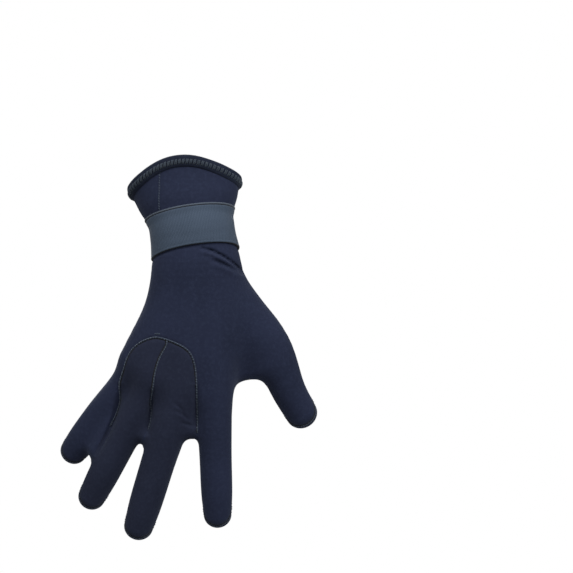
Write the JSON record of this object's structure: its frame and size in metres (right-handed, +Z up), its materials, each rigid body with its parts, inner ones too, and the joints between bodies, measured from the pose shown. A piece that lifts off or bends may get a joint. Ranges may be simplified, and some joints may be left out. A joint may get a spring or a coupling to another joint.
{
  "type": "diving glove",
  "caption": "Right-hand neoprene diving glove in worn form, with a flared cuff, an elastic wrist band, inset back panels and an overlocked mouth edge.",
  "frame": {"origin": "middle of the wrist hollow at the mid height of the elastic band, where the wrist holds the glove", "axes": "+Z up towards the forearm, so the fingers point to -Z; the back of the hand faces -Y; the thumb side is +X"},
  "size_m": [0.1879, 0.0661, 0.2745],
  "materials": {
    "neoprene": "matte nylon jersey on neoprene foam, blue black",
    "panel_neoprene": "matte nylon jersey on neoprene foam, blue black",
    "elastic_webbing": "slate grey woven elastic, fine upright ribs",
    "edging_yarn": "thick dark overlock yarn"
  },
  "bodies": {
    "root": {"hand_shell": "neoprene", "middle_panel": "panel_neoprene", "ring_panel": "panel_neoprene", "cuff": "neoprene", "wrist_band": "elastic_webbing", "mouth_edging": "edging_yarn"}
  },
  "joints": []
}
